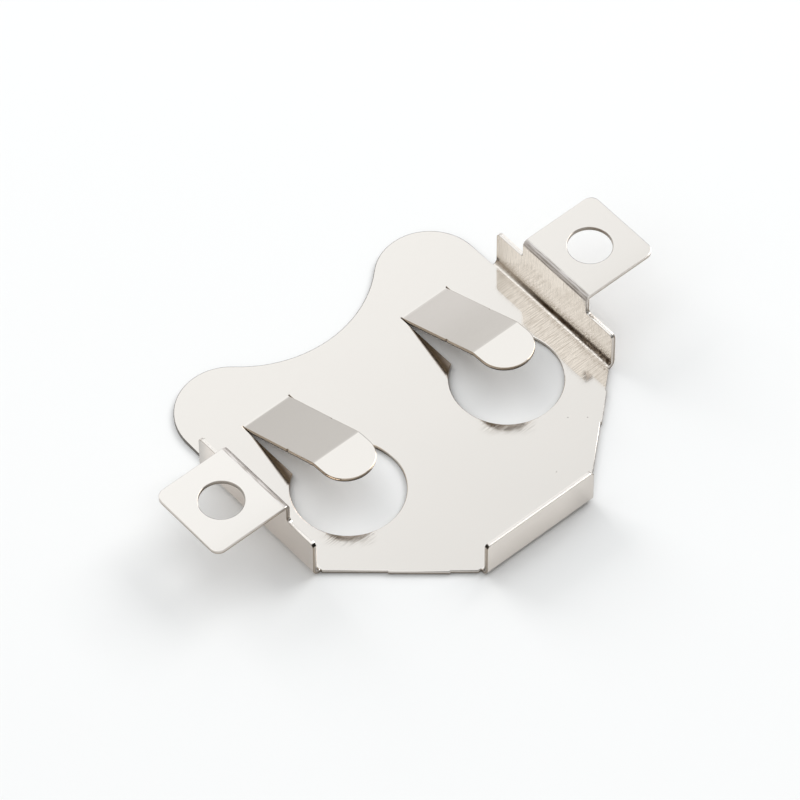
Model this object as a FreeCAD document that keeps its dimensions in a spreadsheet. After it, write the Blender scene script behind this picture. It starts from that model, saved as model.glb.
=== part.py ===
# Coin cell retainer, punched and folded from one strip of spring metal, in millimetres.
#
# The retainer lies on its plate with the solder tabs up. X runs from tab to tab, +Y points to the
# open side where the cell slides in, and the stop wall is at -Y. The origin is on the outer face of
# the plate, under the centre of the cell. The right half is modelled and mirrored across X = 0.
# Only the two sheared stubs of the carrier strip differ from side to side.
import FreeCAD
import Part
import Sketcher
import math
import os

# Driving dimensions, in millimetres and degrees.
SIZES = {
    "cell_dia": 20.0,           # diameter of the coin cell
    "side_clear": 0.3,          # play between the cell and each side wall
    "stop_clear": 0.35,         # play between the cell and the stop wall
    "sheet": 0.25,              # thickness of the strip
    "foot_fold": 0.25,          # inside radius at the foot of the walls
    "ear_length": 2.11,         # low part of the side wall, on each side of the tab
    "ear_height": 2.5,          # above the inner face of the plate
    "ear_corner": 0.3,
    "tab_width": 5.08,
    "tab_height": 3.8,          # solder face above the inner face of the plate
    "tab_reach": 4.7,           # from the outer face of the side wall to the end of the tab
    "tab_fold": 0.1,            # inside radius where the tab turns outward
    "tab_corner": 0.55,
    "tab_notch": 0.2,           # round between the ear and the tab
    "tab_hole": 2.45,           # diameter of the solder hole
    "tab_hole_inset": 2.42,     # from the end of the tab to the middle of its hole
    "stop_length": 7.43,
    "stop_height": 2.4,         # above the inner face of the plate
    "stop_corner": 0.3,
    "nose_ledge": 0.2,          # plate beyond each end of the stop wall
    "heel_gap": 0.1,            # straight edge between the side wall and the slanted edge
    "lobe_radius": 3.03,
    "lobe_centre": 6.3,         # how far the lobes' centres lie towards the open side
    "bay_bottom": 6.55,         # plate edge midway between the lobes
    "finger_inset": 4.75,       # from the inner face of the side wall to the finger's middle
    "finger_width": 3.16,
    "finger_root": 5.13,        # bend line of the finger, towards the open side
    "finger_fold": 0.4,         # inside radius at the finger's root
    "finger_run": 5.69,         # from the bend line to the end of the straight ramp, along Y
    "finger_rise": 2.59,        # end of the ramp above the inner face of the plate
    "kink_fold": 0.3,           # inside radius of the kink
    "tip_reach": 0.9,           # from the end of the ramp to the centre of the round tip
    "tip_slope": 5.0,           # how much the tip still rises, in degrees
    "lance_gap": 0.03,          # shear gap between the finger and each side of its slot
    "lance_nick": 0.04,         # nick in each side of the finger where its shear cuts begin
    "lance_nick_length": 0.12,
    "clear_hole": 6.2,          # diameter of the hole round the finger's tip
    "clear_hole_back": 1.6,     # how far that hole lies towards the stop wall
    "stub_height": 0.07,        # sheared stubs of the carrier strip on the slanted edges
    "left_stub_start": 3.45,
    "left_stub_width": 3.25,
    "right_stub_start": 1.4,
    "right_stub_width": 2.15,
}

# Places that several sketches share, as expressions of the sizes.
INNER = "(sizes.cell_dia / 2 + sizes.side_clear)"
PLATE_HALF = "(sizes.cell_dia / 2 + sizes.side_clear - sizes.foot_fold)"
STOP_IN = "(sizes.cell_dia / 2 + sizes.stop_clear)"
NOSE = "(sizes.cell_dia / 2 + sizes.stop_clear - sizes.foot_fold)"
NOSE_HALF = "(sizes.stop_length / 2 + sizes.nose_ledge)"
WALL_HALF = "(sizes.tab_width / 2 + sizes.ear_length)"
HEEL = "(sizes.tab_width / 2 + sizes.ear_length + sizes.heel_gap)"
FOOT_TOP = "(sizes.sheet + sizes.foot_fold)"
EAR_TOP = "(sizes.sheet + sizes.ear_height)"
STOP_TOP = "(sizes.sheet + sizes.stop_height)"
TAB_TOP = "(sizes.sheet + sizes.tab_height)"
TAB_END = "(sizes.cell_dia / 2 + sizes.side_clear + sizes.sheet + sizes.tab_reach)"
FINGER_MID = "(sizes.cell_dia / 2 + sizes.side_clear - sizes.finger_inset)"
RAMP_END = "(sizes.finger_run - sizes.finger_root)"
TIP_MID = "(sizes.finger_run - sizes.finger_root + sizes.tip_reach)"
SLOT_HALF = "(sizes.finger_width / 2 + sizes.lance_gap)"
SLOT_END = "(sqrt((sizes.clear_hole / 2)^2 - %s^2) - sizes.clear_hole_back)" % SLOT_HALF
RAMP = "sqrt(sizes.finger_run^2 + sizes.finger_rise^2)"
NICK_MID = "(sizes.finger_root - (sizes.finger_root - %s) * sizes.finger_run / %s)" % (SLOT_END, RAMP)
SLANT = "atan((%s - %s) / (%s - %s))" % (NOSE, HEEL, PLATE_HALF, NOSE_HALF)

# Names for the points of a sketch's lines and arcs, and for its origin and axes.
START, END, CENTRE = range(1, 4)
X_AXIS, Y_AXIS = range(-1, -3, -1)
ORIGIN = (X_AXIS, START)

RIGHT_ANGLE = math.pi / 2

doc = FreeCAD.newDocument("coin_cell_retainer")
sheet = doc.addObject("Spreadsheet::Sheet", "sizes")
for row, (alias, number) in enumerate(SIZES.items(), start=1):
    sheet.set("A%d" % row, alias)
    sheet.set("B%d" % row, str(number))
    sheet.setAlias("B%d" % row, alias)
doc.recompute()


def value(expression):
    """What an expression of the sizes comes to."""
    result = sheet.evalExpression(expression)
    return float(getattr(result, "Value", result))


class Drawing:
    """A sketch on one of the body's origin planes, with its dimensions bound to the sheet."""

    def __init__(self, body, name, role, lift=None):
        self.sketch = body.newObject("Sketcher::SketchObject", name)
        support = [feature for feature in body.Origin.OriginFeatures if feature.Role == role]
        self.sketch.AttachmentSupport = [(support[0], "")]
        self.sketch.MapMode = "FlatFace"
        if lift:
            self.sketch.setExpression(".AttachmentOffset.Base.z", lift)

    def line(self, start, end):
        ends = [FreeCAD.Vector(x, y, 0) for x, y in (start, end)]
        return self.sketch.addGeometry(Part.LineSegment(*ends), False)

    def arc(self, centre, radius, first, last):
        circle = Part.Circle(FreeCAD.Vector(centre[0], centre[1], 0), FreeCAD.Vector(0, 0, 1), radius)
        return self.sketch.addGeometry(Part.ArcOfCircle(circle, first, last), False)

    def rule(self, kind, *places):
        self.sketch.addConstraint(Sketcher.Constraint(kind, *places))

    def join(self, first, second):
        self.rule("Coincident", *first, *second)

    def blend(self, first, second):
        """Join two ends smoothly."""
        self.rule("Tangent", *first, *second)

    def size(self, kind, expression, *places):
        """A dimension that follows the sheet."""
        index = self.sketch.addConstraint(Sketcher.Constraint(kind, *places, value(expression)))
        self.sketch.setExpression("Constraints[%d]" % index, expression)

    def across(self, first, second, expression):
        self.size("DistanceX", expression, *first, *second)

    def upward(self, first, second, expression):
        self.size("DistanceY", expression, *first, *second)

    def strip(self, start, heading, steps):
        """The section of a folded strip that sets out from a point, its thickness to the right.

        A step is ("run", length) or ("turn", radians, inside radius), and a left turn is positive.
        The line across the strip's start comes back, and then the lines and arcs of either side.
        """
        thickness = value("sizes.sheet")
        sides = []
        for depth in (0.0, thickness):
            angle = heading
            x = start[0] + depth * math.sin(angle)
            y = start[1] - depth * math.cos(angle)
            side = []
            for step in steps:
                if step[0] == "run":
                    before = (x, y)
                    x += step[1] * math.cos(angle)
                    y += step[1] * math.sin(angle)
                    side.append((self.line(before, (x, y)), START, END))
                    continue
                left = step[1] > 0
                inside = value(step[2])
                radius = inside + depth if left else inside + thickness - depth
                hand = 1 if left else -1
                centre = (x - hand * radius * math.sin(angle), y + hand * radius * math.cos(angle))
                begin = angle - hand * RIGHT_ANGLE
                finish = begin + step[1]
                geometry = self.arc(centre, radius, min(begin, finish), max(begin, finish))
                side.append((geometry, START, END) if left else (geometry, END, START))
                angle += step[1]
                x = centre[0] + hand * radius * math.sin(angle)
                y = centre[1] - hand * radius * math.cos(angle)
            sides.append((side, (x, y)))
        (left_side, left_end), (right_side, right_end) = sides
        across = (start[0] + thickness * math.sin(heading), start[1] - thickness * math.cos(heading))
        first = self.line(start, across)
        last = self.line(left_end, right_end)
        self.join((first, START), left_side[0][:2])
        self.join((first, END), right_side[0][:2])
        self.join((last, START), left_side[-1][::2])
        self.join((last, END), right_side[-1][::2])
        for side in (left_side, right_side):
            for before, after in zip(side, side[1:]):
                self.blend(before[::2], after[:2])
        final = len(steps) - 1
        for number, step in enumerate(steps):
            left, right = left_side[number][0], right_side[number][0]
            if step[0] == "turn":
                self.join((left, CENTRE), (right, CENTRE))
                inner, outer = (left, right) if step[1] > 0 else (right, left)
                self.size("Radius", step[2], inner)
                self.size("Radius", step[2] + " + sizes.sheet", outer)
                if number == 0:
                    self.rule("PointOnObject", left, CENTRE, first)
            elif number in (0, final):
                self.rule("Parallel", left, right)
        if steps[0][0] == "run":
            self.rule("Perpendicular", first, left_side[0][0])
        self.rule("Perpendicular", last, left_side[-1][0])
        left_lines = [piece[0] for piece in left_side]
        right_lines = [piece[0] for piece in right_side]
        return first, left_lines, right_lines


def pad(body, name, drawing, length, both_ways=False, backward=False):
    """A pad of a drawing, over a length given by an expression."""
    feature = body.newObject("PartDesign::Pad", name)
    feature.Profile = drawing.sketch
    feature.SideType = "Symmetric" if both_ways else "One side"
    feature.Reversed = backward
    feature.setExpression("Length", length)
    return feature


def cut(body, name, drawing, upward):
    """A pocket of a drawing through everything on one side of its plane."""
    feature = body.newObject("PartDesign::Pocket", name)
    feature.Profile = drawing.sketch
    feature.Type = "ThroughAll"
    feature.Reversed = upward
    return feature


def edges_between(feature, *places):
    """Names of the straight edges that join two of the places, each near in every given coordinate."""
    found = []
    for number, edge in enumerate(feature.Shape.Edges, start=1):
        if len(edge.Vertexes) != 2:
            continue
        ends = [vertex.Point for vertex in edge.Vertexes]
        for place in places:
            if all(abs(end[axis] - want) < 1e-4 for end in ends for axis, want in place.items()):
                found.append("Edge%d" % number)
                break
    return found


def round_edges(body, name, radius, *places):
    """A fillet on the edges that lie along the places."""
    doc.recompute()
    base = body.Tip
    names = edges_between(base, *places)
    if len(names) != len(places):
        raise ValueError("%s finds %d edges for %d places" % (name, len(names), len(places)))
    feature = body.newObject("PartDesign::Fillet", name)
    feature.Base = (base, names)
    feature.setExpression("Radius", radius)
    return feature


def plate(body):
    """Right half of the plate, from the nose by the stop wall to the lobe on the open side."""
    plan = Drawing(body, "plate_plan", "XY_Plane")
    nose, nose_half, half = value(NOSE), value(NOSE_HALF), value(PLATE_HALF)
    lobe, lobe_y = value("sizes.lobe_radius"), value("sizes.lobe_centre")
    lobe_x = half - lobe
    rise = value("sizes.bay_bottom") - lobe_y
    bay = (lobe_x ** 2 + rise ** 2 - lobe ** 2) / (2 * (lobe - rise))
    bay_y = value("sizes.bay_bottom") + bay
    meet = math.atan2(bay_y - lobe_y, -lobe_x)
    front = plan.line((0, -nose), (nose_half, -nose))
    slant = plan.line((nose_half, -nose), (half, -value(HEEL)))
    side = plan.line((half, -value(HEEL)), (half, lobe_y))
    lobe_arc = plan.arc((lobe_x, lobe_y), lobe, 0, meet)
    bay_arc = plan.arc((0, bay_y), bay, -RIGHT_ANGLE, meet - math.pi)
    middle = plan.line((0, bay_y - bay), (0, -nose))
    plan.join((front, END), (slant, START))
    plan.join((slant, END), (side, START))
    plan.blend((side, END), (lobe_arc, START))
    plan.blend((lobe_arc, END), (bay_arc, END))
    plan.join((bay_arc, START), (middle, START))
    plan.join((middle, END), (front, START))
    plan.rule("Horizontal", front)
    plan.rule("Vertical", side)
    plan.rule("PointOnObject", front, START, Y_AXIS)
    plan.rule("PointOnObject", bay_arc, START, Y_AXIS)
    plan.rule("PointOnObject", bay_arc, CENTRE, Y_AXIS)
    plan.upward((front, START), ORIGIN, NOSE)
    plan.across(ORIGIN, (front, END), NOSE_HALF)
    plan.across(ORIGIN, (side, START), PLATE_HALF)
    plan.upward((side, START), ORIGIN, HEEL)
    plan.size("Radius", "sizes.lobe_radius", lobe_arc)
    plan.upward(ORIGIN, (lobe_arc, CENTRE), "sizes.lobe_centre")
    plan.upward(ORIGIN, (bay_arc, START), "sizes.bay_bottom")
    pad(body, "plate", plan, "sizes.sheet")


def clear_hole(body):
    """Keyhole under the finger: a round hole at its tip, and the slot that it was lanced from."""
    plan = Drawing(body, "clear_hole_plan", "XY_Plane")
    middle, back, radius = value(FINGER_MID), value("sizes.clear_hole_back"), value("sizes.clear_hole / 2")
    root = value("sizes.finger_root")
    half, shoulder = value(SLOT_HALF), value(SLOT_END)
    opening = math.asin(half / radius)
    ring = plan.arc((middle, -back), radius, RIGHT_ANGLE + opening, 5 * RIGHT_ANGLE - opening)
    right = plan.line((middle + half, shoulder), (middle + half, root))
    end = plan.line((middle + half, root), (middle - half, root))
    left = plan.line((middle - half, root), (middle - half, shoulder))
    plan.join((ring, END), (right, START))
    plan.join((right, END), (end, START))
    plan.join((end, END), (left, START))
    plan.join((left, END), (ring, START))
    plan.rule("Vertical", right)
    plan.rule("Vertical", left)
    plan.rule("Horizontal", end)
    plan.size("Radius", "sizes.clear_hole / 2", ring)
    plan.across(ORIGIN, (ring, CENTRE), FINGER_MID)
    plan.upward((ring, CENTRE), ORIGIN, "sizes.clear_hole_back")
    plan.across((ring, CENTRE), (right, START), SLOT_HALF)
    plan.across((left, START), (ring, CENTRE), SLOT_HALF)
    plan.upward(ORIGIN, (end, START), "sizes.finger_root")
    cut(body, "clear_hole", plan, upward=True)


def side_wall(body):
    """Low side wall that keeps the cell between the tabs."""
    section = Drawing(body, "side_wall_section", "XZ_Plane")
    height = value(EAR_TOP) - value(FOOT_TOP)
    steps = [("turn", RIGHT_ANGLE, "sizes.foot_fold"), ("run", height)]
    first, inner, _ = section.strip((value(PLATE_HALF), value("sizes.sheet")), 0, steps)
    section.rule("Vertical", first)
    section.rule("PointOnObject", first, END, X_AXIS)
    section.rule("Vertical", inner[1])
    section.across(ORIGIN, (inner[1], START), INNER)
    section.upward(ORIGIN, (inner[1], END), EAR_TOP)
    pad(body, "side_wall", section, "2 * " + WALL_HALF, both_ways=True)


def solder_tab(body):
    """Tall middle of the side wall, turned outward into a tab with a hole."""
    section = Drawing(body, "solder_tab_section", "XZ_Plane")
    turn = value("sizes.sheet + sizes.tab_fold")
    steps = [
        ("run", value(TAB_TOP) - turn - value(FOOT_TOP)),
        ("turn", -RIGHT_ANGLE, "sizes.tab_fold"),
        ("run", value(TAB_END) - value(INNER) - turn),
    ]
    first, inner, _ = section.strip((value(INNER), value(FOOT_TOP)), RIGHT_ANGLE, steps)
    section.rule("Horizontal", first)
    section.rule("Horizontal", inner[2])
    section.across(ORIGIN, (first, START), INNER)
    section.upward(ORIGIN, (first, START), FOOT_TOP)
    section.upward(ORIGIN, (inner[2], END), TAB_TOP)
    section.across(ORIGIN, (inner[2], END), TAB_END)
    pad(body, "solder_tab", section, "sizes.tab_width", both_ways=True)
    hole = Drawing(body, "solder_hole_plan", "XY_Plane", TAB_TOP)
    middle = value(TAB_END) - value("sizes.tab_hole_inset")
    circle = Part.Circle(FreeCAD.Vector(middle, 0, 0), FreeCAD.Vector(0, 0, 1), value("sizes.tab_hole / 2"))
    ring = hole.sketch.addGeometry(circle, False)
    hole.size("Radius", "sizes.tab_hole / 2", ring)
    hole.rule("PointOnObject", ring, CENTRE, X_AXIS)
    hole.across(ORIGIN, (ring, CENTRE), TAB_END + " - sizes.tab_hole_inset")
    cut(body, "solder_hole", hole, upward=False)


def stop_wall(body):
    """Right half of the wall that the cell stops against."""
    section = Drawing(body, "stop_wall_section", "YZ_Plane")
    height = value(STOP_TOP) - value(FOOT_TOP)
    steps = [("turn", -RIGHT_ANGLE, "sizes.foot_fold"), ("run", height)]
    first, _, inner = section.strip((-value(NOSE), 0), math.pi, steps)
    section.rule("Vertical", first)
    section.rule("PointOnObject", first, START, X_AXIS)
    section.rule("Vertical", inner[1])
    section.across((inner[1], START), ORIGIN, STOP_IN)
    section.upward(ORIGIN, (inner[1], END), STOP_TOP)
    pad(body, "stop_wall", section, "sizes.stop_length / 2")


def finger(body):
    """Spring finger, bent up from its root and kinked so that its round tip lies nearly level."""
    section = Drawing(body, "finger_section", "YZ_Plane", FINGER_MID)
    fold, run, rise = value("sizes.finger_fold"), value("sizes.finger_run"), value("sizes.finger_rise")
    ramp = math.sqrt(run ** 2 + (rise - fold) ** 2 - fold ** 2)
    climb = math.atan2(rise - fold, run) + math.atan2(fold, ramp)
    tip = "sizes.finger_width / 2 + sizes.tip_reach + sizes.sheet"
    steps = [
        ("turn", -climb, "sizes.finger_fold"),
        ("run", ramp),
        ("turn", climb - math.radians(value("sizes.tip_slope")), "sizes.kink_fold"),
        ("run", value(tip)),
    ]
    first, _, upper = section.strip((value("sizes.finger_root"), 0), math.pi, steps)
    ramp_line, tip_line = upper[1], upper[3]
    section.rule("Vertical", first)
    section.rule("PointOnObject", first, START, X_AXIS)
    section.across(ORIGIN, (first, START), "sizes.finger_root")
    section.across((ramp_line, END), ORIGIN, RAMP_END)
    section.upward(ORIGIN, (ramp_line, END), "sizes.sheet + sizes.finger_rise")
    section.size("Angle", "180 deg - sizes.tip_slope * 1 deg", tip_line)
    section.across((tip_line, END), (ramp_line, END), tip)
    pad(body, "finger", section, "sizes.finger_width", both_ways=True)


def finger_tip(body):
    """Round the finger's tip, and nick its sides where the clear hole lets the shear cuts begin."""
    height = "sizes.sheet + sizes.finger_rise / 4"
    plan = Drawing(body, "finger_tip_plan", "XY_Plane", height)
    middle, tip_y, radius = value(FINGER_MID), -value(TIP_MID), value("sizes.finger_width / 2")
    far = value("sizes.finger_width")
    points = [
        (middle - radius, tip_y), (middle - far, tip_y), (middle - far, tip_y - far),
        (middle + far, tip_y - far), (middle + far, tip_y), (middle + radius, tip_y),
    ]
    lines = [plan.line(here, there) for here, there in zip(points, points[1:])]
    round_end = plan.arc((middle, tip_y), radius, math.pi, 2 * math.pi)
    for here, there in zip(lines, lines[1:]):
        plan.join((here, END), (there, START))
    plan.join((lines[-1], END), (round_end, END))
    plan.join((round_end, START), (lines[0], START))
    for number, line in enumerate(lines):
        plan.rule("Vertical" if number % 2 else "Horizontal", line)
    plan.rule("PointOnObject", round_end, CENTRE, lines[0])
    plan.rule("PointOnObject", round_end, CENTRE, lines[-1])
    plan.size("Radius", "sizes.finger_width / 2", round_end)
    plan.across(ORIGIN, (round_end, CENTRE), FINGER_MID)
    plan.upward((round_end, CENTRE), ORIGIN, TIP_MID)
    plan.across((lines[2], START), (round_end, CENTRE), "sizes.finger_width")
    plan.across((round_end, CENTRE), (lines[2], END), "sizes.finger_width")
    plan.upward((lines[2], START), (round_end, CENTRE), "sizes.finger_width")
    cut(body, "finger_tip", plan, upward=True)
    nicks = Drawing(body, "lance_nick_plan", "XY_Plane", height)
    deep, long, begin = value("sizes.lance_nick"), value("sizes.lance_nick_length"), value(NICK_MID)
    for hand in (-1, 1):
        side, inside = middle + hand * radius, middle + hand * (radius - deep)
        points = [(inside, begin), (side, begin), (side, begin + long), (inside, begin + long)]
        lines = [nicks.line(here, there) for here, there in zip(points, points[1:] + points[:1])]
        for number, line in enumerate(lines):
            nicks.join((line, END), (lines[(number + 1) % 4], START))
            nicks.rule("Vertical" if number % 2 else "Horizontal", line)
        nicks.upward(ORIGIN, (lines[0], START), NICK_MID)
        nicks.upward((lines[1], START), (lines[1], END), "sizes.lance_nick_length")
        nicks.across(ORIGIN, (lines[1], START), "%s + %d * sizes.finger_width / 2" % (FINGER_MID, hand))
        ends = [(lines[0], START), (lines[0], END)]
        nicks.across(*ends[::hand], "sizes.lance_nick")
    cut(body, "lance_nicks", nicks, upward=True)


def corners(body):
    """Rounded corners of the ears, the tab and the stop wall."""
    inner = value(INNER)
    outer = value(INNER + " + sizes.sheet")
    wall, tab, ear_top = value(WALL_HALF), value("sizes.tab_width / 2"), value(EAR_TOP)
    stop_half, stop_top = value("sizes.stop_length / 2"), value(STOP_TOP)
    round_edges(body, "ear_corners", "sizes.ear_corner", {1: wall, 2: ear_top}, {1: -wall, 2: ear_top})
    round_edges(body, "tab_notches", "sizes.tab_notch", {1: tab, 2: ear_top}, {1: -tab, 2: ear_top})
    tab_end = value(TAB_END)
    round_edges(body, "tab_corners", "sizes.tab_corner", {0: tab_end, 1: tab}, {0: tab_end, 1: -tab})
    round_edges(body, "stop_corner", "sizes.stop_corner", {0: stop_half, 2: stop_top})


def mirror(body):
    """The left half, from the right one."""
    doc.recompute()
    feature = body.newObject("PartDesign::Mirrored", "both_halves")
    feature.TransformMode = "Whole shape"
    middle = [plane for plane in body.Origin.OriginFeatures if plane.Role == "YZ_Plane"]
    feature.MirrorPlane = (middle[0], [""])
    body.Tip = feature


def stub(body, side, turn, outward):
    """Sheared stub of the carrier strip on a slanted edge, drawn along that edge from its heel."""
    name = side + "_stub"
    plan = Drawing(body, name + "_plan", "XY_Plane")
    hand = "-" if side == "left" else ""
    plan.sketch.setExpression(".AttachmentOffset.Base.x", hand + PLATE_HALF)
    plan.sketch.setExpression(".AttachmentOffset.Base.y", "-" + HEEL)
    plan.sketch.AttachmentOffset = FreeCAD.Placement(FreeCAD.Vector(), FreeCAD.Vector(0, 0, 1), 1)
    plan.sketch.setExpression(".AttachmentOffset.Rotation.Angle", turn)
    begin = value("sizes.%s_start" % name)
    finish = begin + value("sizes.%s_width" % name)
    near, far = -outward * value("sizes.sheet"), outward * value("sizes.stub_height")
    points = [(begin, near), (finish, near), (finish, far), (begin, far)]
    lines = [plan.line(here, there) for here, there in zip(points, points[1:] + points[:1])]
    for number, line in enumerate(lines):
        plan.join((line, END), (lines[(number + 1) % 4], START))
        plan.rule("Vertical" if number % 2 else "Horizontal", line)
    plan.across(ORIGIN, (lines[0], START), "sizes.%s_start" % name)
    plan.across((lines[0], START), (lines[0], END), "sizes.%s_width" % name)
    inside, outside = (lines[0], START), (lines[2], START)
    if outward > 0:
        plan.upward(inside, ORIGIN, "sizes.sheet")
        plan.upward(ORIGIN, outside, "sizes.stub_height")
    else:
        plan.upward(ORIGIN, inside, "sizes.sheet")
        plan.upward(outside, ORIGIN, "sizes.stub_height")
    pad(body, name, plan, "sizes.sheet")


def retainer():
    """The whole retainer as one body."""
    body = doc.addObject("PartDesign::Body", "cell_retainer")
    body.Label = "cell_retainer"
    plate(body)
    clear_hole(body)
    side_wall(body)
    solder_tab(body)
    stop_wall(body)
    finger(body)
    finger_tip(body)
    corners(body)
    mirror(body)
    stub(body, "left", "-" + SLANT, -1)
    stub(body, "right", SLANT + " - 180 deg", 1)
    return body


body = retainer()
doc.recompute()
for item in doc.Objects:
    if "Invalid" in item.State or "Error" in item.State:
        raise RuntimeError("%s failed: %s" % (item.Name, item.State))
shape = body.Shape
if shape.isNull() or not shape.isValid() or len(shape.Solids) != 1:
    raise RuntimeError("the retainer is not one valid solid")
os.makedirs("parts", exist_ok=True)
shape.exportStep("parts/%s.step" % body.Label)
box = shape.BoundBox
spans = (box.XLength, box.YLength, box.ZLength)
print("%s: %.2f x %.2f x %.2f mm" % (body.Label, *spans))
print("volume %.3f mm3, %d faces" % (shape.Volume, len(shape.Faces)))
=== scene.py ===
"""Looks of the folded sheet-metal coin cell retainer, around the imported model.

Lengths are in metres. Only the places that fade, beyond and short_of take are in millimetres.
"""
import math

import bmesh
import bpy
from mathutils import Matrix, Vector


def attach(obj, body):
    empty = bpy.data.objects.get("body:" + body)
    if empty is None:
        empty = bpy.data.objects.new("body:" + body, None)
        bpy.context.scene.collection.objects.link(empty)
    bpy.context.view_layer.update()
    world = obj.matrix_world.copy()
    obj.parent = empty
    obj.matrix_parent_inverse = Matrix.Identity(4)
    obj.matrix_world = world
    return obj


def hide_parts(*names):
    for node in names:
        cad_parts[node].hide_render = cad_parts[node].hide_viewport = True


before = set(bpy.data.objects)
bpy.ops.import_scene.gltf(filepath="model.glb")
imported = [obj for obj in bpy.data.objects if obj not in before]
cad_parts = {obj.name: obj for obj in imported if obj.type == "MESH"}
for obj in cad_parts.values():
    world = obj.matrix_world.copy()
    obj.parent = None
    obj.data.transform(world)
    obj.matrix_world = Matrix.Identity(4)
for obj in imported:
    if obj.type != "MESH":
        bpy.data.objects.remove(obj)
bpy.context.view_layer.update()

MM = 0.001

# Camera, solved from the photograph: the direction it stands in, its distance and its lens.
CAMERA_AZIMUTH = math.radians(-40.648)
CAMERA_ELEVATION = math.radians(53.117)
CAMERA_ROLL = math.radians(-0.241)
CAMERA_DISTANCE = 385.22 * MM
CAMERA_ASIDE = -0.428 * MM
CAMERA_ABOVE = 0.759 * MM
PLATE_TOP = 0.25 * MM
LENS_IN_FRAMES = 7258.9 / 800
SENSOR_WIDTH = 36.0
NEAREST_SEEN = 10 * MM
FARTHEST_SEEN = 10.0

# Floor and lamps.
FLOOR_DROP = 0.03 * MM
FLOOR_HALF = 0.6
FLOOR_COLOUR = (0.87, 0.868, 0.862)
FIBRE_HEIGHT = 0.01 * MM
LAMP_DISTANCE = 0.7
LAMP_SIZE = 0.4
RIGHT_LAMP_SIDE = (1.0, 0.0, 0.95)
RIGHT_LAMP_POWER = 1.8
BACK_LAMP_SIDE = (-0.1, 1.0, 0.5)
BACK_LAMP_POWER = 1.7

# The studio around the part. Its sides go by the part's axes: +X is right and +Y is behind.
SCREEN_SIDE = (-0.17, 0.887, -0.423)
SCREEN_TINT = (1.0, 1.027, 1.045)
WORLD_LEVEL = 0.80
CORNER_SLANT = 0.57
WHITE = (1.0, 1.0, 1.0)
DIM_CORNER = (0.55, 0.54, 0.52)

# How the node's exact shape is cleaned, and the edges of the punched sheet.
WELD = 0.0002 * MM
FLAT = math.radians(0.3)
LEVEL_NORMAL = 0.999
FOLD_STEP = math.radians(30)
SHARP = math.radians(40)
ROLLOVER = 0.035 * MM
ROLLOVER_STEPS = 2
FLAT_FACE_WEIGHT = 100

# Middles of the clear hole in a keyhole opening and of a solder hole, on the right side.
HOLE_X = 5.55 * MM
HOLE_Y = -1.6 * MM
SOLDER_HOLE_X = 12.83 * MM

# The side of a clear hole that the hatched patch is on, and the slant of the scuffed strip's ends.
HATCH_X = -0.65
HATCH_Y = -0.76
SCUFF_SLANT = 1.164

# How long the marks are, how far apart and how high.
GRAIN_LENGTH = 1.1 * MM
GRAIN_SPACING = 0.065 * MM
GRAIN_HEIGHT = 0.003 * MM
SCRATCH_LENGTH = 1.0 * MM
SCRATCH_SPACING = 0.09 * MM
SCRATCH_HEIGHT = 0.0015 * MM
SCRATCH_SHIFT = 5.0         # takes the scratches from another place in the noise than the grain
SCORE_LENGTH = 1.2 * MM
SCORE_SPACING = 0.11 * MM
SCORE_HEIGHT = 0.012 * MM
PIT_SPACING = 0.9 * MM
PIT_DEPTH = 0.006 * MM
WAVE_HEIGHT = 0.004 * MM
TORN_HEIGHT = 0.012 * MM

# How many lumps of each noise there are to the metre.
WAVES = 160.0
FIBRES = 3000.0
MOTTLES = 6000.0
CRUMBS = 10000.0
TORN_LUMPS = 16000.0

# Colours of the plated skin.
BRIGHT = (0.84, 0.795, 0.745)
LOWER_SKIN = (0.80, 0.74, 0.685)
# Painted light: the walls' standing inner faces are made brighter than the plate.
LIT_INNER_WALL = (0.95, 0.90, 0.84)
# Painted shade: the inner walls are darker towards their ends.
SHADED_WALL_ENDS = (0.58, 0.535, 0.48)
# Painted shade: the walls' outer faces are darker at the ears.
SHADED_OUTER_EAR = (0.48, 0.46, 0.435)
# Painted light: the left tab's upper face is made brighter.
LIT_LEFT_TAB = (0.90, 0.855, 0.805)
# Painted light: the right finger's ramp is made brighter.
LIT_RIGHT_RAMP = (0.94, 0.89, 0.84)
# Painted light and shade on the stop wall's outer face: lighter at its left end, darker at its right.
STOP_LEFT_LIT = (0.895, 0.838, 0.778)
STOP_RIGHT_SHADED = (0.645, 0.60, 0.555)
# Painted shade: the fingers' under sides are dark brown.
UNDER_FINGER_SHADE = (0.25, 0.18, 0.11)
# The tab folds' colours: score lines, and painted shade that darkens the fold.
FOLD_SCORES_AND_SHADE_PALE = (0.62, 0.58, 0.56)
FOLD_SCORES_AND_SHADE_DARK = (0.30, 0.265, 0.235)
# Low on the inner walls: brown soiling, and painted shade towards the foot.
FOOT_SOIL_AND_SHADE = (0.42, 0.34, 0.26)
# Painted shade: the dark line in the walls' foot fold.
FOOT_FOLD_SHADE = (0.055, 0.034, 0.018)
STROKE = (0.30, 0.23, 0.16)
SOIL = (0.17, 0.12, 0.08)

# Colours of the sheared edges.
BURNISHED = (0.60, 0.555, 0.51)
TORN = (0.36, 0.305, 0.25)
# Darker, browner edge colours round the keyholes and fingers.
KEYHOLE_BURNISHED = (0.46, 0.385, 0.31)
KEYHOLE_TORN = (0.055, 0.037, 0.022)
OUTLINE = (0.15, 0.135, 0.12)
SOLDER_HOLE = (0.27, 0.235, 0.20)
# Painted dark reflection in two rounded corners.
PAINTED_DARK_REFLECTION = (0.03, 0.025, 0.02)


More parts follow.
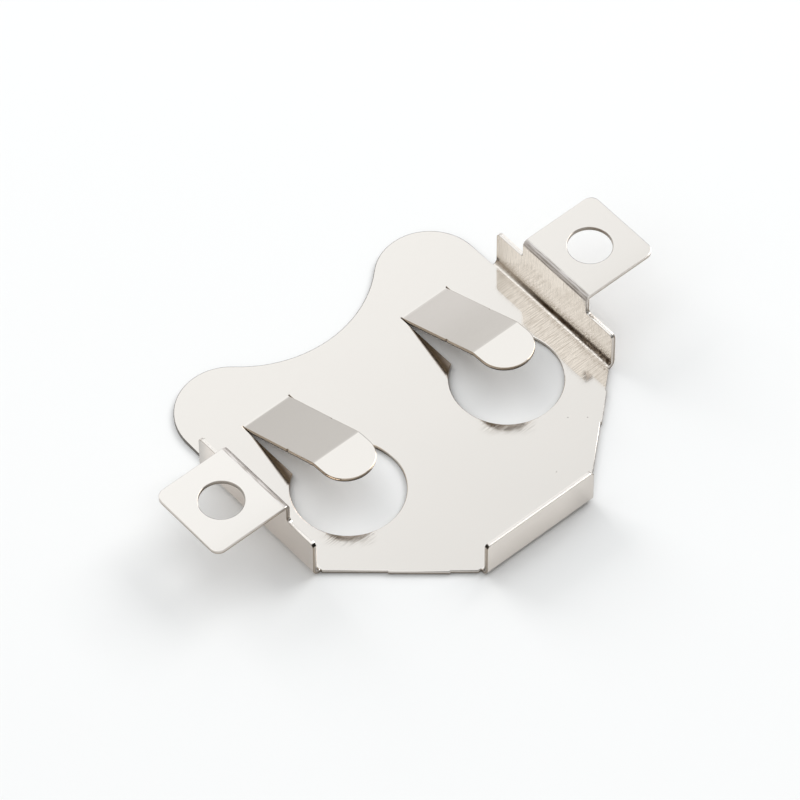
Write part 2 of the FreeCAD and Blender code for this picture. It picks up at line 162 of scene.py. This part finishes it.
class Nodes:
    """A node tree that is written as nested calls."""

    def __init__(self, tree):
        self.tree = tree
        tree.nodes.clear()

    def add(self, kind, inputs=(), output=0, **settings):
        """Adds a node and returns one of its outputs. An input is a number, a colour or an output."""
        node = self.tree.nodes.new(kind)
        for name, setting in settings.items():
            setattr(node, name, setting)
        items = inputs.items() if isinstance(inputs, dict) else enumerate(inputs)
        for key, given in items:
            if given is None:
                continue
            if isinstance(given, bpy.types.NodeSocket):
                self.tree.links.new(given, node.inputs[key])
            else:
                node.inputs[key].default_value = given
        return node.outputs[output] if len(node.outputs) else node

    def math(self, operation, *values):
        return self.add("ShaderNodeMath", values, operation=operation)

    def product(self, first, *others):
        for other in others:
            first = self.math("MULTIPLY", first, other)
        return first

    def most(self, first, *others):
        """The largest of several values."""
        for other in others:
            first = self.math("MAXIMUM", first, other)
        return first

    def beyond(self, value, place):
        """1 where a length is past a place in millimetres, 0 elsewhere."""
        return self.math("GREATER_THAN", value, place * MM)

    def short_of(self, value, place):
        """1 where a length is short of a place in millimetres, 0 elsewhere."""
        return self.math("LESS_THAN", value, place * MM)

    def ramp(self, value, low, high, to_low=0.0, to_high=1.0, smooth=True):
        """A value carried from one range to another, with soft ends."""
        kind = "SMOOTHSTEP" if smooth else "LINEAR"
        inputs = (value, low, high, to_low, to_high)
        return self.add("ShaderNodeMapRange", inputs, interpolation_type=kind)

    def fade(self, value, start, full, to_start=0.0, to_full=1.0):
        """The same for a length, between two places in millimetres."""
        return self.ramp(value, start * MM, full * MM, to_start, to_full)

    def stops(self, value, *places):
        """A colour ramp of (place, colour) stops."""
        output = self.add("ShaderNodeValToRGB", (value,))
        elements = output.node.color_ramp.elements
        while len(elements) > 1:
            elements.remove(elements[0])
        elements[0].position, elements[0].color = places[0][0], (*places[0][1], 1)
        for place, colour in places[1:]:
            elements.new(place).color = (*colour, 1)
        return output

    def vector(self, x, y, z):
        return self.add("ShaderNodeCombineXYZ", (x, y, z))

    def split(self, vector):
        return self.add("ShaderNodeSeparateXYZ", (vector,)).node.outputs

    def noise(self, vector, scale, detail=2.0, roughness=0.5):
        inputs = {"Vector": vector, "Scale": scale, "Detail": detail, "Roughness": roughness}
        return self.add("ShaderNodeTexNoise", inputs)

    def bump(self, height, distance, beneath=None):
        """A surface that the height lifts by up to the distance."""
        inputs = {"Strength": 1.0, "Distance": distance, "Height": height, "Normal": beneath}
        return self.add("ShaderNodeBump", inputs)

    def blend(self, factor, first, second, **settings):
        """A colour made of two others."""
        ends = [end if isinstance(end, bpy.types.NodeSocket) else (*end, 1) for end in (first, second)]
        inputs = {0: factor, 6: ends[0], 7: ends[1]}
        return self.add("ShaderNodeMix", inputs, output=2, data_type="RGBA", **settings)


class Metal(Nodes):
    """A metal of the retainer, and the place of each of its points."""

    def __init__(self, name):
        self.material = bpy.data.materials.new(name)
        self.material.use_nodes = True
        super().__init__(self.material.node_tree)
        self.place = self.add("ShaderNodeTexCoord", output=3)
        self.x, self.y, self.z = self.split(self.place)
        self.side = self.math("ABSOLUTE", self.x)
        # 0 on the upper skin, which is also the walls' inner face, and 1 on the lower one.
        self.depth = self.add("ShaderNodeAttribute", attribute_name="depth", output=2)

    def finish(self, colour, rough, normal):
        inputs = {"Base Color": colour, "Metallic": 1.0, "Roughness": rough, "Normal": normal}
        self.add("ShaderNodeOutputMaterial", (self.add("ShaderNodeBsdfPrincipled", inputs),))
        return self.material


class Skin(Metal):
    """The plated skin: where its walls, folds and openings are, and the marks that its looks share."""

    def __init__(self):
        super().__init__("plated_spring_metal")
        self.below = self.math("GREATER_THAN", self.depth, 0.5)
        self.above = self.math("SUBTRACT", 1.0, self.below)
        self.at_right = self.beyond(self.x, 0.0)
        self.on_wall = self.fade(self.side, 10.0, 10.3)
        self.inner_wall = self.product(self.on_wall, self.above)
        self.under_tab = self.fade(self.z, 3.9, 3.6)
        self.standing = self.product(self.on_wall, self.under_tab)
        # From the middle of the clear hole, along X and along Y.
        self.from_hole = self.product(self.math("SUBTRACT", self.side, HOLE_X), self.math("SIGN", self.x))
        self.past_hole = self.math("SUBTRACT", self.y, HOLE_Y)
        self.along = self.math("ADD", self.side, self.z)
        self.grain = self.streaks(GRAIN_LENGTH, GRAIN_SPACING, 0.0)
        self.crumbs = self.noise(self.place, CRUMBS, 2.0, 0.7)
        self.score = self.score_lines()
        self.tab_fold = self.tab_fold_mask()
        self.hatched = self.hatching()
        self.scuffed = self.scuffing()
        self.soiled = self.most(self.pits(), self.galling())

    def streaks(self, length, spacing, shift):
        """Noise drawn out along the sheet's grain, from tab to tab and up the walls."""
        off_wall = self.math("SUBTRACT", 1.0, self.on_wall)
        across = self.math("SUBTRACT", self.y, self.product(self.z, off_wall))
        spot = self.vector(
            self.math("DIVIDE", self.along, length),
            self.math("DIVIDE", across, spacing),
            self.math("ADD", self.x, shift),
        )
        return self.noise(spot, 1.0, 2.0, 0.6)

    def score_lines(self):
        """Noise drawn out along the folds, where the tool scored the sheet."""
        lengthwise = self.math("DIVIDE", self.y, SCORE_LENGTH)
        around = self.math("DIVIDE", self.along, SCORE_SPACING)
        return self.noise(self.vector(lengthwise, around, 0.0), 1.0, 2.0, 0.6)

    def tab_fold_mask(self):
        """The fold between wall and tab. Its marks end nearer the wall on the right."""
        turned = self.math("ADD", self.side, self.fade(self.x, -1.0, 1.0, 0.06 * MM, 0.15 * MM))
        return self.product(self.fade(turned, 10.78, 10.69), self.fade(self.z, 3.72, 3.76))

    def hatching(self):
        """The patch of plate that the tool hatched, on the camera's side of each clear hole."""
        outward = self.math(
            "ADD", self.product(self.from_hole, HATCH_X), self.product(self.past_hole, HATCH_Y)
        )
        aside = self.math(
            "SUBTRACT", self.product(self.past_hole, HATCH_X), self.product(self.from_hole, HATCH_Y)
        )
        near_end = self.fade(outward, 2.7, 2.9)
        far_end = self.fade(outward, 3.95, 3.2)
        return self.product(near_end, far_end, self.fade(self.math("ABSOLUTE", aside), 1.7, 0.7))

    def scuffing(self):
        """The scuffed strip of plate beside the right wall, slanted at its ends, narrow by the ears."""
        slanted = self.math("SUBTRACT", self.y, self.product(self.x, SCUFF_SLANT))
        by_ears = self.most(self.fade(slanted, -9.6, -9.3), self.fade(slanted, -14.4, -14.7))
        start = self.ramp(by_ears, 0.0, 1.0, 8.42 * MM, 8.98 * MM)
        past_start = self.fade(self.math("SUBTRACT", self.x, start), 0.0, 0.15)
        return self.product(past_start, self.fade(slanted, -7.2, -7.4))

    def pits(self):
        """Small pits, closer together towards the stop wall."""
        cells = {"Vector": self.place, "Scale": 1 / PIT_SPACING, "Randomness": 1.0}
        distance, cell = self.add("ShaderNodeTexVoronoi", cells).node.outputs[:2]
        least = self.fade(self.y, -5.0, -7.0, 0.93, 0.75)
        chosen = self.math("GREATER_THAN", self.split(cell)[0], least)
        return self.product(chosen, self.ramp(distance, 0.07, 0.03, 0.0, 0.5))

    def galling(self):
        """Crumbs of metal low on the walls' inner faces, more of them towards the stop wall."""
        raised = self.ramp(self.crumbs, 0.53, 0.60)
        towards_stop = self.fade(self.y, 4.0, -4.5)
        return self.product(raised, towards_stop, self.inner_wall, self.fade(self.z, 1.6, 0.5))


def right_ramp(skin):
    """The upper face of the right finger, towards its root."""
    on_finger = skin.fade(skin.math("ABSOLUTE", skin.from_hole), 1.62, 1.56)
    raised = skin.beyond(skin.z, 0.27)
    return skin.product(on_finger, raised, skin.above, skin.at_right, skin.fade(skin.y, 0.5, 4.5))


def shaded_wall_ends(skin):
    """The inner faces of the walls towards their two ends, which get painted shade."""
    open_end = skin.fade(skin.y, 2.9, 5.8, 0.0, 0.85)
    stop_end = skin.fade(skin.y, -1.0, -5.0, 0.0, 0.30)
    return skin.product(skin.inner_wall, skin.most(open_end, stop_end))


def under_finger_shade(skin):
    """The left rim of each finger's under side, painted dark brown as shade."""
    raised = skin.product(skin.below, skin.fade(skin.z, 0.3, 0.6))
    clear_of_stop = skin.fade(skin.y, -5.5, -5.0)
    clear_of_wall = skin.fade(skin.side, 8.0, 7.8)
    left_rim = skin.fade(skin.from_hole, -1.0, -1.4)
    return skin.product(raised, clear_of_stop, clear_of_wall, left_rim, 0.92)


def colour_with_painted_light(skin):
    """The metal's colour with painted light and shade: each part made as bright as it is in the
    photograph.
    """
    colour = skin.blend(skin.below, BRIGHT, LOWER_SKIN)
    # Painted light on the standing inner walls.
    colour = skin.blend(skin.product(skin.standing, skin.above, 0.9), colour, LIT_INNER_WALL)
    # Painted light on the left tab's upper face.
    left_tab = skin.product(skin.fade(skin.x, -10.4, -10.7), skin.above)
    colour = skin.blend(left_tab, colour, LIT_LEFT_TAB)
    # Painted light on the right finger's ramp.
    colour = skin.blend(right_ramp(skin), colour, LIT_RIGHT_RAMP)
    # Painted shade towards the inner walls' ends.
    colour = skin.blend(shaded_wall_ends(skin), colour, SHADED_WALL_ENDS)
    # Painted shade on the walls' outer faces by the ears.
    shaded_outer_ear = skin.product(skin.on_wall, skin.below, skin.fade(skin.y, 3.4, 4.9))
    colour = skin.blend(shaded_outer_ear, colour, SHADED_OUTER_EAR)
    # Painted light and shade along the stop wall's outer face.
    outside_stop = skin.product(skin.fade(skin.y, -10.35, -10.5), skin.below)
    stop_light_and_shade = skin.blend(skin.fade(skin.x, 1.2, 3.8), STOP_LEFT_LIT, STOP_RIGHT_SHADED)
    colour = skin.blend(outside_stop, colour, stop_light_and_shade)
    # Painted shade under the fingers.
    return skin.blend(under_finger_shade(skin), colour, UNDER_FINGER_SHADE)


def foot_fold_shade_line(skin):
    """A painted shade line in the walls' foot fold: broad and mottled by the stop wall, faint at the open
    side.
    """
    top = skin.fade(skin.y, 1.5, -4.5, 0.60 * MM, 0.90 * MM)
    below_top = skin.ramp(skin.math("DIVIDE", skin.z, top), 1.0, 0.68)
    off_plate = skin.product(skin.fade(skin.z, 0.275, 0.31), skin.beyond(skin.side, 10.0))
    lined = skin.ramp(skin.score, 0.38, 0.50, 0.72, 1.0)
    faintest = skin.fade(skin.y, -0.5, -3.5, 1.0, 0.42)
    mottled = skin.ramp(skin.noise(skin.place, MOTTLES, 2.0, 0.7), 0.56, 0.48, faintest, 1.0)
    lengthwise = skin.fade(skin.y, 4.6, 0.6, 0.04, 0.985)
    return skin.product(off_plate, below_top, skin.above, lined, mottled, lengthwise)


def strokes(skin):
    """Dark brush strokes on the right wall and on the scuffed strip beside it."""
    marked = skin.most(skin.product(skin.on_wall, skin.at_right), skin.scuffed)
    fainter_up = skin.fade(skin.z, 0.6, 0.3, 0.45, 1.0)
    dark = skin.ramp(skin.grain, 0.46, 0.60, 0.0, 0.24)
    return skin.product(marked, fainter_up, skin.under_tab, skin.above, dark)


def marked_colour(skin, colour):
    """The colour under the marks, and the marks: scored tab folds with painted shade, painted shade and
    soiling at the wall feet, strokes and dirt.
    """
    # Score lines and painted shade in the tab folds.
    drawn = skin.blend(skin.ramp(skin.score, 0.42, 0.60), FOLD_SCORES_AND_SHADE_PALE, FOLD_SCORES_AND_SHADE_DARK)
    colour = skin.blend(skin.product(skin.tab_fold, 0.85), colour, drawn)
    # Soiling and painted shade low on the inner walls.
    near_foot = skin.product(skin.inner_wall, skin.fade(skin.z, 1.5, 0.45))
    foot_soil_and_shade = skin.product(near_foot, skin.ramp(skin.crumbs, 0.35, 0.65, 0.28, 0.68))
    colour = skin.blend(foot_soil_and_shade, colour, FOOT_SOIL_AND_SHADE)
    # Painted shade line in the walls' foot fold.
    colour = skin.blend(foot_fold_shade_line(skin), colour, FOOT_FOLD_SHADE)
    hatch = skin.product(skin.hatched, skin.ramp(skin.grain, 0.46, 0.58, 0.0, 0.5))
    colour = skin.blend(skin.most(hatch, strokes(skin)), colour, STROKE)
    return skin.blend(skin.product(skin.soiled, 0.85), colour, SOIL)


def skin_relief(skin):
    """The skin's fine relief: soft waves, brushed grain and scratches, scored folds and pits."""
    scuffs = skin.product(skin.scuffed, 0.7, skin.fade(skin.z, 0.6, 0.3))
    brushed = skin.most(skin.product(skin.standing, 1.1), skin.product(skin.hatched, 1.1), scuffs, 0.15)
    scratches = skin.ramp(skin.streaks(SCRATCH_LENGTH, SCRATCH_SPACING, SCRATCH_SHIFT), 0.60, 0.68)
    wall_foot = skin.product(skin.fade(skin.side, 9.95, 10.1), skin.fade(skin.z, 0.95, 0.45))
    scored = skin.most(skin.product(wall_foot, 0.8), skin.tab_fold)
    normal = skin.bump(skin.noise(skin.place, WAVES, 1.0), WAVE_HEIGHT)
    normal = skin.bump(skin.product(skin.grain, brushed), GRAIN_HEIGHT, normal)
    normal = skin.bump(skin.product(scratches, brushed), SCRATCH_HEIGHT, normal)
    normal = skin.bump(skin.product(skin.score, scored), SCORE_HEIGHT, normal)
    return skin.bump(skin.soiled, -PIT_DEPTH, normal)


def skin_roughness(skin):
    """Nearly a mirror, and duller in the tabs' folds and on the lower skin."""
    rough = skin.ramp(skin.grain, 0.35, 0.7, 0.07, 0.11)
    rough = skin.math("ADD", rough, skin.product(skin.tab_fold, 0.3))
    return skin.math("ADD", rough, skin.product(skin.below, 0.12))


def sheet_metal():
    """Bright plated spring metal with a fine grain and the marks of the tool."""
    skin = Skin()
    colour = marked_colour(skin, colour_with_painted_light(skin))
    return skin.finish(colour, skin_roughness(skin), skin_relief(skin))


def edge_tints(edge, colour):
    """Bright where the edge faces up, dull round the lobes and the bay and in the solder holes."""
    turn_x, turn_y, turn_z = edge.split(edge.add("ShaderNodeNewGeometry", output=1))
    colour = edge.blend(edge.ramp(turn_z, 0.5, 0.8), colour, BRIGHT)
    outline = edge.product(edge.fade(edge.y, 3.4, 3.8), edge.short_of(edge.z, 0.35), 0.9)
    colour = edge.blend(outline, colour, OUTLINE)
    ends = (edge.vector(edge.side, edge.y, 0.0), (SOLDER_HOLE_X, 0.0, 0.0))
    from_middle = edge.add("ShaderNodeVectorMath", ends, output=1, operation="DISTANCE")
    colour = edge.blend(edge.fade(from_middle, 1.35, 1.30, 0.0, 0.8), colour, SOLDER_HOLE)

    # Two rounded corners carry a painted dark reflection: the left ear's, towards the stop wall, and the
    # stop wall's left one.
    on_ear = edge.product(edge.short_of(edge.x, -10.2), edge.short_of(edge.y, -4.2))
    ear_end = edge.product(on_ear, edge.ramp(turn_y, -0.4, -0.6))
    stop_end = edge.product(edge.short_of(edge.y, -10.2), edge.ramp(turn_x, -0.4, -0.6))
    corner = edge.product(edge.most(ear_end, stop_end), edge.ramp(turn_z, 0.25, 0.45))
    return edge.blend(corner, colour, PAINTED_DARK_REFLECTION)


def at_keyholes(edge):
    """The edges of the keyhole openings and of the fingers."""
    between_sides = edge.product(edge.fade(edge.side, 8.1, 7.9), edge.fade(edge.side, 2.4, 2.6))
    between_ends = edge.product(edge.fade(edge.y, -4.8, -4.4), edge.fade(edge.y, 6.0, 5.8))
    return edge.product(between_sides, between_ends)


def sheared_metal():
    """The punched edges of the strip: a burnished band at the upper skin, then a duller torn one."""
    edge = Metal("sheared_edge")
    lumps = edge.noise(edge.place, TORN_LUMPS, 3.0, 0.6)
    ragged = edge.math("ADD", edge.depth, edge.product(edge.math("SUBTRACT", lumps, 0.5), 0.5))
    torn = edge.ramp(ragged, 0.45, 0.65)
    colour = edge_tints(edge, edge.blend(torn, BURNISHED, TORN))
    # Round the keyholes and fingers the edges are darker and browner.
    keyhole_edge_colour = edge.blend(torn, KEYHOLE_BURNISHED, KEYHOLE_TORN)
    colour = edge.blend(at_keyholes(edge), colour, keyhole_edge_colour)
    relief = edge.product(lumps, edge.ramp(torn, 0.0, 1.0, 0.2, 1.0))
    rough = edge.ramp(torn, 0.0, 1.0, 0.12, 0.36)
    return edge.finish(colour, rough, edge.bump(relief, TORN_HEIGHT))


def flood(start):
    """The faces that a face reaches without turning more than a fold's step."""
    reached, fresh = {start}, [start]
    while fresh:
        face = fresh.pop()
        for edge in face.edges:
            for other in edge.link_faces:
                if other not in reached and edge.calc_face_angle(0.0) < FOLD_STEP:
                    reached.add(other)
                    fresh.append(other)
    return reached


def mark_skins(shape):
    """Finds the two skins, each from its largest level face through all the folds, and marks them."""
    sides = []
    for direction in (1, -1):
        facing = [face for face in shape.faces if face.normal.z * direction > LEVEL_NORMAL]
        sides.append(flood(max(facing, key=lambda face: face.calc_area())))
    skin = sides[0] | sides[1]
    depth = shape.verts.layers.float.new("depth")
    for vert in shape.verts:
        vert[depth] = 0.0 if any(face in sides[0] for face in vert.link_faces) else 1.0
    for face in shape.faces:
        face.smooth = True
        face.material_index = 0 if face in skin else 1
    return skin


def roll_over(shape, skin):
    """Rolls over the rims between the skins and the sheared edges. The metals' border stays sharp."""
    rims = [
        edge for edge in shape.edges
        if len(edge.link_faces) == 2 and (edge.link_faces[0] in skin) != (edge.link_faces[1] in skin)
    ]
    bmesh.ops.bevel(
        shape, geom=rims, offset=ROLLOVER, offset_type="OFFSET", segments=ROLLOVER_STEPS, profile=0.5,
        affect="EDGES", clamp_overlap=False, loop_slide=True, material=1,
    )
    for edge in shape.edges:
        one_metal = len({face.material_index for face in edge.link_faces}) == 1
        edge.smooth = one_metal and edge.calc_face_angle(0.0) < SHARP


def finished_sheet(node):
    """The retainer with rolled-over punched edges, on the node's exact shape."""
    mesh = node.data.copy()
    mesh.name = "retainer_sheet"
    shape = bmesh.new()
    shape.from_mesh(mesh)
    bmesh.ops.remove_doubles(shape, verts=shape.verts, dist=WELD)
    bmesh.ops.dissolve_limit(
        shape, angle_limit=FLAT, verts=shape.verts, edges=shape.edges, delimit={"NORMAL"}
    )
    shape.normal_update()
    roll_over(shape, mark_skins(shape))
    mesh.materials.clear()
    mesh.materials.append(sheet_metal())
    mesh.materials.append(sheared_metal())
    shape.to_mesh(mesh)
    shape.free()

    piece = bpy.data.objects.new("retainer_sheet", mesh)
    bpy.context.scene.collection.objects.link(piece)
    weigh = piece.modifiers.new("true_flats", "WEIGHTED_NORMAL")
    weigh.keep_sharp = True
    weigh.mode = "FACE_AREA"
    weigh.weight = FLAT_FACE_WEIGHT
    return piece


def paper():
    """Pale matt paper with a faint fibre."""
    material = bpy.data.materials.new("pale_floor")
    material.use_nodes = True
    nodes = Nodes(material.node_tree)
    fibre = nodes.noise(nodes.add("ShaderNodeTexCoord", output=3), FIBRES, 2.0)
    bump = nodes.add("ShaderNodeBump", {"Strength": 0.05, "Distance": FIBRE_HEIGHT, "Height": fibre})
    inputs = {
        "Base Color": (*FLOOR_COLOUR, 1), "Roughness": 0.9, "Specular IOR Level": 0.1, "Normal": bump,
    }
    nodes.add("ShaderNodeOutputMaterial", (nodes.add("ShaderNodeBsdfPrincipled", inputs),))
    return material


def floor():
    """A plain pale floor."""
    signs = ((-1, -1), (1, -1), (1, 1), (-1, 1))
    corners = [(x * FLOOR_HALF, y * FLOOR_HALF, -FLOOR_DROP) for x, y in signs]
    mesh = bpy.data.meshes.new("floor")
    mesh.from_pydata(corners, [], [(0, 1, 2, 3)])
    mesh.materials.append(paper())
    piece = bpy.data.objects.new("floor", mesh)
    bpy.context.scene.collection.objects.link(piece)


def screen(nodes, direction):
    """A broad screen that is brightest behind the part and dims all the way round to the front."""

    def grey(level):
        return tuple(level * part for part in SCREEN_TINT)

    ends = (direction, SCREEN_SIDE)
    towards = nodes.add("ShaderNodeVectorMath", ends, output=1, operation="DOT_PRODUCT")
    return nodes.stops(
        nodes.ramp(towards, -1.0, 1.0, smooth=False),
        (0.05, grey(0.50)), (0.25, grey(1.00)), (0.47, grey(1.18)),
        (0.50, grey(1.33)), (0.58, grey(1.38)), (0.80, grey(1.50)),
    )


def horizon(nodes, x, y, z):
    """The dark things that stand low on each side, from the horizon up."""
    behind = nodes.stops(
        z,
        (0.00, (0.05, 0.042, 0.036)), (0.05, (0.07, 0.060, 0.052)), (0.12, (0.45, 0.43, 0.42)),
        (0.18, (0.62, 0.61, 0.60)), (0.45, (0.70, 0.69, 0.68)), (0.62, WHITE),
    )
    right = nodes.stops(
        z,
        (0.00, (0.04, 0.032, 0.024)), (0.16, (0.05, 0.042, 0.034)), (0.24, (0.25, 0.235, 0.22)),
        (0.32, (0.80, 0.79, 0.78)), (0.45, WHITE),
    )
    left = nodes.stops(
        z,
        (0.00, (0.12, 0.10, 0.08)), (0.05, (0.26, 0.23, 0.20)), (0.14, (0.48, 0.45, 0.41)),
        (0.40, (0.56, 0.53, 0.50)), (0.50, (0.85, 0.84, 0.83)), (0.62, WHITE),
    )
    front = nodes.stops(
        z,
        (0.00, (0.05, 0.04, 0.03)), (0.06, (0.20, 0.19, 0.18)), (0.14, (0.36, 0.35, 0.34)),
        (0.42, (0.40, 0.39, 0.38)), (0.62, (0.95, 0.94, 0.93)), (0.70, WHITE),
    )
    around = nodes.blend(nodes.ramp(x, 0.5, 0.75), behind, right)
    around = nodes.blend(nodes.ramp(x, -0.3, -0.5), around, left)
    return nodes.blend(nodes.ramp(y, 0.2, -0.1), around, front)


def dim_corner(nodes, x, y, z):
    """A corner high up behind on the left, past a slanting edge, that is dimmer."""
    past_edge = nodes.ramp(nodes.math("SUBTRACT", y, nodes.product(z, CORNER_SLANT)), -0.01, 0.035)
    on_left = nodes.ramp(x, -0.1, -0.3)
    high_up = nodes.ramp(z, 0.42, 0.58)
    return nodes.blend(nodes.product(past_edge, on_left, high_up), WHITE, DIM_CORNER)


def brightness(nodes, x, y, z):
    """How strong the studio's light is: soft bands, the brightest of them overhead."""
    on_left = nodes.ramp(x, -0.1, -0.3, WORLD_LEVEL, 1.14 * WORLD_LEVEL)
    high_up = nodes.ramp(z, 0.77, 0.83, 1.0, 0.93)
    overhead = nodes.ramp(z, 0.84, 0.92, 1.0, 1.45)
    towards_back = nodes.ramp(y, 0.415, 0.495, 0.94, 1.04)
    at_back = nodes.ramp(y, 0.50, 0.57, 1.0, 0.925)
    low_right = nodes.product(nodes.ramp(x, 0.38, 0.43), nodes.ramp(z, 0.35, 0.25, 0.0, 0.18))
    lifted = nodes.math("ADD", low_right, 1.0)
    return nodes.product(on_left, high_up, towards_back, at_back, overhead, lifted)


def surroundings():
    """The studio that the metal mirrors."""
    world = bpy.data.worlds.new("studio")
    bpy.context.scene.world = world
    world.use_nodes = True
    nodes = Nodes(world.node_tree)
    direction = nodes.add("ShaderNodeTexCoord", output=0)
    x, y, z = nodes.split(direction)
    glow = screen(nodes, direction)
    for shade in (horizon(nodes, x, y, z), dim_corner(nodes, x, y, z)):
        glow = nodes.blend(1.0, glow, shade, blend_type="MULTIPLY")
    light = nodes.add("ShaderNodeBackground", (glow, brightness(nodes, x, y, z)))
    nodes.add("ShaderNodeOutputWorld", (light,))


def softbox(name, direction, power, mirrored):
    """A large soft lamp that points at the part, and that the metal mirrors or doesn't."""
    data = bpy.data.lights.new(name, "AREA")
    data.shape = "SQUARE"
    data.size = LAMP_SIZE
    data.energy = power
    lamp = bpy.data.objects.new(name, data)
    lamp.location = Vector(direction).normalized() * LAMP_DISTANCE
    lamp.rotation_mode = "QUATERNION"
    lamp.rotation_quaternion = (-lamp.location).to_track_quat("-Z", "Y")
    lamp.visible_camera = False
    lamp.visible_glossy = mirrored
    bpy.context.scene.collection.objects.link(lamp)


def camera():
    """The photograph's camera."""
    back = Vector((
        math.sin(CAMERA_AZIMUTH) * math.cos(CAMERA_ELEVATION),
        -math.cos(CAMERA_AZIMUTH) * math.cos(CAMERA_ELEVATION),
        math.sin(CAMERA_ELEVATION),
    ))
    right = Vector((math.cos(CAMERA_AZIMUTH), math.sin(CAMERA_AZIMUTH), 0.0))
    up = back.cross(right)
    target = Vector((0, 0, PLATE_TOP))
    eye = right * CAMERA_ASIDE + up * CAMERA_ABOVE + back * CAMERA_DISTANCE + target
    data = bpy.data.cameras.new("camera")
    data.sensor_width = SENSOR_WIDTH
    data.lens = LENS_IN_FRAMES * SENSOR_WIDTH
    data.clip_start = NEAREST_SEEN
    data.clip_end = FARTHEST_SEEN
    made = bpy.data.objects.new("camera", data)
    made.matrix_world = (
        Matrix.Translation(eye)
        @ Matrix((right, up, back)).transposed().to_4x4()
        @ Matrix.Rotation(CAMERA_ROLL, 4, "Z")
    )
    bpy.context.scene.collection.objects.link(made)
    bpy.context.scene.camera = made


bpy.context.scene.view_settings.view_transform = "Standard"
retainer = finished_sheet(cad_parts["cell_retainer"])
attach(retainer, "root")
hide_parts("cell_retainer")
floor()
surroundings()
softbox("right_lamp", RIGHT_LAMP_SIDE, RIGHT_LAMP_POWER, mirrored=True)
softbox("back_lamp", BACK_LAMP_SIDE, BACK_LAMP_POWER, mirrored=False)
camera()
